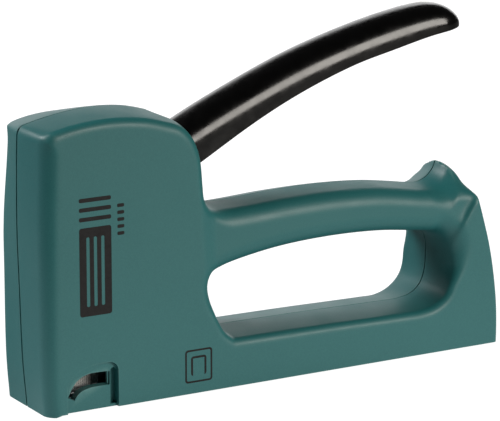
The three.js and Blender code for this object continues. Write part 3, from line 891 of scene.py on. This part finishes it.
# ---------------------------------------------------------------- materials
def linear(*srgb):
    """A colour given as 0-255 sRGB, as the linear RGBA a shader takes."""
    parts = [c / 255 for c in srgb]
    return [c / 12.92 if c <= 0.04045 else ((c + 0.055) / 1.055) ** 2.4 for c in parts] + [1]


class Surface:
    """A procedural material: its nodes read the piece's own coordinates, in metres."""

    def __init__(self, name, roughness, **sockets):
        self.material = bpy.data.materials.new(name)
        self.material.use_nodes = True
        self.nodes = self.material.node_tree.nodes
        self.links = self.material.node_tree.links
        self.shader = self.nodes["Principled BSDF"]
        for socket, value in {"Roughness": roughness, **sockets}.items():
            self.shader.inputs[socket].default_value = value
        self.place = self.nodes.new("ShaderNodeTexCoord").outputs["Object"]

    def join(self, output, node, socket):
        self.links.new(output, node.inputs[socket])

    def noise(self, scale, detail, stretch=None):
        """Noise between 0 and 1 with features about 1/scale metres across."""
        place = self.place
        if stretch:
            mapping = self.nodes.new("ShaderNodeMapping")
            mapping.inputs["Scale"].default_value = stretch
            self.join(place, mapping, "Vector")
            place = mapping.outputs["Vector"]
        node = self.nodes.new("ShaderNodeTexNoise")
        node.inputs["Scale"].default_value = scale
        node.inputs["Detail"].default_value = detail
        self.join(place, node, "Vector")
        return node.outputs["Fac"]

    def edges(self, low, high):
        """About 1 on worn outside edges and 0 elsewhere."""
        geometry = self.nodes.new("ShaderNodeNewGeometry")
        return self.ranged(geometry.outputs["Pointiness"], low, high, 0, 1)

    def ranged(self, value, low, high, to_low, to_high):
        node = self.nodes.new("ShaderNodeMapRange")
        node.inputs["From Min"].default_value = low
        node.inputs["From Max"].default_value = high
        node.inputs["To Min"].default_value = to_low
        node.inputs["To Max"].default_value = to_high
        self.join(value, node, "Value")
        return node.outputs["Result"]

    def measured(self, operation, other=(0, 0, 0)):
        """A number worked out from the piece's own coordinates and another vector."""
        node = self.nodes.new("ShaderNodeVectorMath")
        node.operation = operation
        node.inputs[1].default_value = other
        self.links.new(self.place, node.inputs[0])
        return node.outputs["Value"]

    def times(self, a, b):
        node = self.nodes.new("ShaderNodeMath")
        node.operation = "MULTIPLY"
        self.links.new(a, node.inputs[0])
        self.links.new(b, node.inputs[1])
        return node.outputs["Value"]

    def blend(self, share, a, b):
        """Mixes two colours, given as RGBA or as a node's output."""
        node = self.nodes.new("ShaderNodeMix")
        node.data_type = "RGBA"
        colours = [s for s in node.inputs if s.type == "RGBA"]
        for socket, colour in zip(colours, (a, b)):
            if isinstance(colour, list):
                socket.default_value = colour
            else:
                self.links.new(colour, socket)
        self.links.new(share, node.inputs["Factor"])
        return [s for s in node.outputs if s.type == "RGBA"][0]

    def paint(self, colour):
        self.join(colour, self.shader, "Base Color")

    def vary_roughness(self, value, low, high):
        self.join(self.ranged(value, 0.3, 0.7, low, high), self.shader, "Roughness")

    def bump(self, height, strength, depth):
        node = self.nodes.new("ShaderNodeBump")
        node.inputs["Strength"].default_value = strength
        node.inputs["Distance"].default_value = depth
        self.join(height, node, "Height")
        self.join(node.outputs["Normal"], self.shader, "Normal")


def casing_plastic():
    """Moulded teal plastic with a fine spark-eroded grain, paler where its edges are rubbed."""
    s = Surface("casing_plastic", 0.45)
    cloud = s.noise(45, 4)
    grain = s.noise(2600, 4)
    body = s.blend(cloud, linear(26, 92, 94), linear(32, 97, 98))
    fleck = s.blend(s.ranged(grain, 0.35, 0.7, 0, 1), body, linear(36, 101, 102))
    worn = s.times(s.edges(0.515, 0.6), s.ranged(s.noise(160, 5), 0.35, 0.65, 0.1, 0.7))
    s.paint(s.blend(worn, fleck, linear(104, 146, 142)))
    s.vary_roughness(s.noise(90, 5), 0.44, 0.52)
    s.bump(grain, 0.3, 0.00003)
    return s.material


def black_lacquer():
    """Stove enamel over pressed steel: glossy, with a faint orange peel and rubbed edges."""
    s = Surface("black_lacquer", 0.2)
    body = s.blend(s.noise(80, 4), linear(1, 1, 1), linear(3, 3, 3))
    worn = s.times(s.edges(0.53, 0.62), s.ranged(s.noise(220, 5), 0.45, 0.7, 0, 0.5))
    s.paint(s.blend(worn, body, linear(70, 68, 64)))
    s.vary_roughness(s.noise(300, 6), 0.16, 0.26)
    s.bump(s.noise(420, 2), 0.08, 0.00006)
    return s.material


def metal(name, colour, roughness, stretch=(1, 1, 1), scale=900, metallic=1):
    """Metal with drawn or brushed streaks and slight tarnish."""
    s = Surface(name, roughness, Metallic=metallic)
    dull = [c * 0.72 for c in colour[:3]] + [1]
    tarnish = s.ranged(s.noise(140, 5), 0.35, 0.75, 0, 0.8)
    s.paint(s.blend(tarnish, colour, dull))
    streaks = s.noise(scale, 5, stretch)
    s.vary_roughness(streaks, roughness * 0.75, roughness * 1.35)
    s.bump(streaks, 0.2, 0.00003)
    return s.material


def dark_moulding(name, colour, roughness, scale):
    """Black plastic or rubber with its own grain."""
    s = Surface(name, roughness)
    lighter = [min(1, c * 1.9 + 0.004) for c in colour[:3]] + [1]
    grain = s.noise(scale, 5)
    s.paint(s.blend(s.ranged(s.noise(120, 4), 0.3, 0.8, 0, 0.8), colour, lighter))
    s.vary_roughness(grain, roughness * 0.85, min(1, roughness * 1.15))
    s.bump(grain, 0.4, 0.00005)
    return s.material


def black_ink():
    """Pad-printed ink, slightly uneven, with the plastic's grain under it."""
    s = Surface("black_ink", 0.6, **{"Specular IOR Level": 0.3})
    s.paint(s.blend(s.noise(500, 5), linear(5, 4, 5), linear(13, 11, 13)))
    s.vary_roughness(s.noise(700, 4), 0.55, 0.7)
    s.bump(s.noise(2600, 4), 0.25, 0.00004)
    return s.material


# ---------------------------------------------------------------- studio
def add_light(name, towards, distance, size, power, colour=(1, 1, 1)):
    """A soft box, seen from the tool in the direction `towards`, that faces it."""
    lamp = bpy.data.lights.new(name, "AREA")
    lamp.shape = "RECTANGLE"
    lamp.size, lamp.size_y = size
    lamp.energy = power
    lamp.color = colour
    light = bpy.data.objects.new(name, lamp)
    direction = Vector(towards).normalized()
    light.location = Vector((0, 0, 0.05)) + direction * distance
    light.rotation_euler = direction.to_track_quat("Z", "Y").to_euler()
    light.visible_camera = False
    bpy.context.scene.collection.objects.link(light)


# Strengths of the light from the floor and the world.
WHITE = 0.97  # the floor, as the camera sees it
FLOOR_LIGHT = 0.66  # the floor round the tool, as it lights the tool
DIM = 0.03  # the world, and the floor where it lights the tool little


def floor_light(paper):
    """How brightly the floor shines, as painted light: white for the camera; for the tool a painted
    pool, bright near it, dark towards the left front, and dim in a painted shadow of the tool and
    far away."""
    left_front = paper.measured("DOT_PRODUCT", (-0.6, -0.8, 0))
    from_shade = paper.measured("DISTANCE", (-0.02, 0.13, 0))
    from_tool = paper.measured("LENGTH")
    lit = paper.ranged(left_front, 0.1, 0.2, FLOOR_LIGHT, 0)
    lit = paper.times(lit, paper.ranged(from_shade, 0.1, 0.17, DIM, 1))
    lit = paper.times(lit, paper.ranged(from_tool, 0.22, 0.32, 1, DIM))
    ray = paper.nodes.new("ShaderNodeLightPath")
    seen = paper.nodes.new("ShaderNodeMapRange")
    seen.inputs["To Max"].default_value = WHITE
    paper.join(ray.outputs["Is Camera Ray"], seen, "Value")
    paper.join(lit, seen, "To Min")
    return seen.outputs["Result"]


def add_world():
    """A world that is white for the camera and dim for the tool."""
    world = bpy.data.worlds.new("studio")
    bpy.context.scene.world = world
    world.use_nodes = True
    nodes = world.node_tree.nodes
    links = world.node_tree.links
    background = nodes["Background"]
    background.inputs["Color"].default_value = (1, 1, 1, 1)
    ray = nodes.new("ShaderNodeLightPath")
    strength = nodes.new("ShaderNodeMapRange")
    strength.inputs["To Min"].default_value = DIM
    strength.inputs["To Max"].default_value = 1.0
    links.new(ray.outputs["Is Camera Ray"], strength.inputs["Value"])
    links.new(strength.outputs["Result"], background.inputs["Strength"])


def add_studio():
    bpy.context.scene.view_settings.view_transform = "Standard"
    add_world()
    add_light("backdrop", towards=(0.45, 1, 0.25), distance=1.6, size=(2.4, 0.8), power=8.8)
    add_light("left_box", towards=(-0.7, 0.42, 0.62), distance=1.3, size=(0.5, 0.5), power=15)
    add_light(
        "right_box",
        towards=(0.4, -0.85, 0.34),
        distance=1.3,
        size=(0.75, 0.6),
        power=14,
        colour=(1, 0.95, 0.88),
    )
    floor = mesh_object("floor", [(-3, -3, 0), (3, -3, 0), (3, 3, 0), (-3, 3, 0)], [[0, 1, 2, 3]])
    paper = Surface("white_paper", 0.9)
    paper.paint(paper.blend(paper.noise(30, 4), linear(108, 108, 108), linear(112, 112, 112)))
    # The floor glows with painted light: a pool round the tool with a painted shadow of the tool in
    # it.
    paper.shader.inputs["Emission Color"].default_value = (1, 1, 1, 1)
    paper.join(floor_light(paper), paper.shader, "Emission Strength")
    floor.data.materials.append(paper.material)


# ---------------------------------------------------------------- the tool
add_camera()
add_studio()

plastic = casing_plastic()
lacquer = black_lacquer()
bright_steel = metal("bright_steel", linear(196, 199, 203), 0.3, (30, 1, 1), 700)
spring_steel = metal("spring_steel", linear(140, 143, 148), 0.36, (1, 1, 8), 900)
zinc_steel = metal("zinc_steel", linear(176, 180, 184), 0.42)
wire_steel = metal("staple_wire", linear(236, 236, 234), 0.45, (1, 1, 20), 800, 0.6)
black_plastic = dark_moulding("black_plastic", linear(24, 25, 26), 0.5, 1500)
rubber = dark_moulding("rubber", linear(30, 30, 30), 0.85, 900)
ink = black_ink()

casing = casing_body()
near_half = casing_half(casing, "near_half", -1)
far_half = casing_half(casing, "far_half", 1)
bpy.data.objects.remove(casing)
finish_piece(near_half, "left_shell_moulding", "casing", plastic, ["left_shell"])
finish_piece(
    far_half, "right_shell_moulding", "casing", plastic, ["right_shell"]
)
finish_piece(lever(), "lever_pressing", "lever", lacquer, ["lever"])

path = helix((LIFT[0], 0), 6, 6, MAIN_SPRING_START, MAIN_SPRING_TOP - 1, "Z", 28)
spring = tube(path, 1, 14)
finish_piece(spring, "main_spring_coil", "casing", spring_steel, ["main_spring"])
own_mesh(spring)

path = helix((0, PUSHER_SPRING_Z), 2.15, 24, PUSHER_SPRING_START, PUSHER_SPRING_END, "X", 20)
spring = tube(path, 0.35, 10)
finish_piece(
    spring, "pusher_spring_coil", "magazine", spring_steel, ["pusher_spring"]
)
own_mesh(spring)

spring = tube(return_spring(), 0.6, 12)
finish_piece(
    spring, "return_spring_coil", None, spring_steel, ["lever_return_spring"]
)
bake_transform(spring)

finish_piece(staple_strip(), "staple_stick", "casing", wire_steel, ["staple_strip"])
for number, at in enumerate(SCREWS, 1):
    node = f"shell_screw_{number}"
    finish_piece(screw(at), f"{node}_threaded", "casing", zinc_steel, [node])
finish_piece(
    end_cap(), "end_cap_moulding", "magazine", black_plastic, ["magazine_end_cap"]
)
finish_piece(print_panel(), "print_panel", "casing", ink)
finish_piece(print_staple(), "print_staple", "casing", ink)

CARRIED_OVER = {
    bright_steel: ["lever_pivot_pin", "lift_pin", "driver_blade", "front_plate", "channel_pin_front",
                   "channel_pin_rear", "magazine_rail", "guide_rod", "cap_pin"],
    spring_steel: ["catch_spring"],
    zinc_steel: ["plunger", "spring_seat", "blade_guide", "magazine_channel"],
    black_plastic: ["pusher"],
    rubber: ["bumper"],
}
for finish, nodes in CARRIED_OVER.items():
    for node in nodes:
        for material_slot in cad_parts[node].material_slots:
            material_slot.material = finish
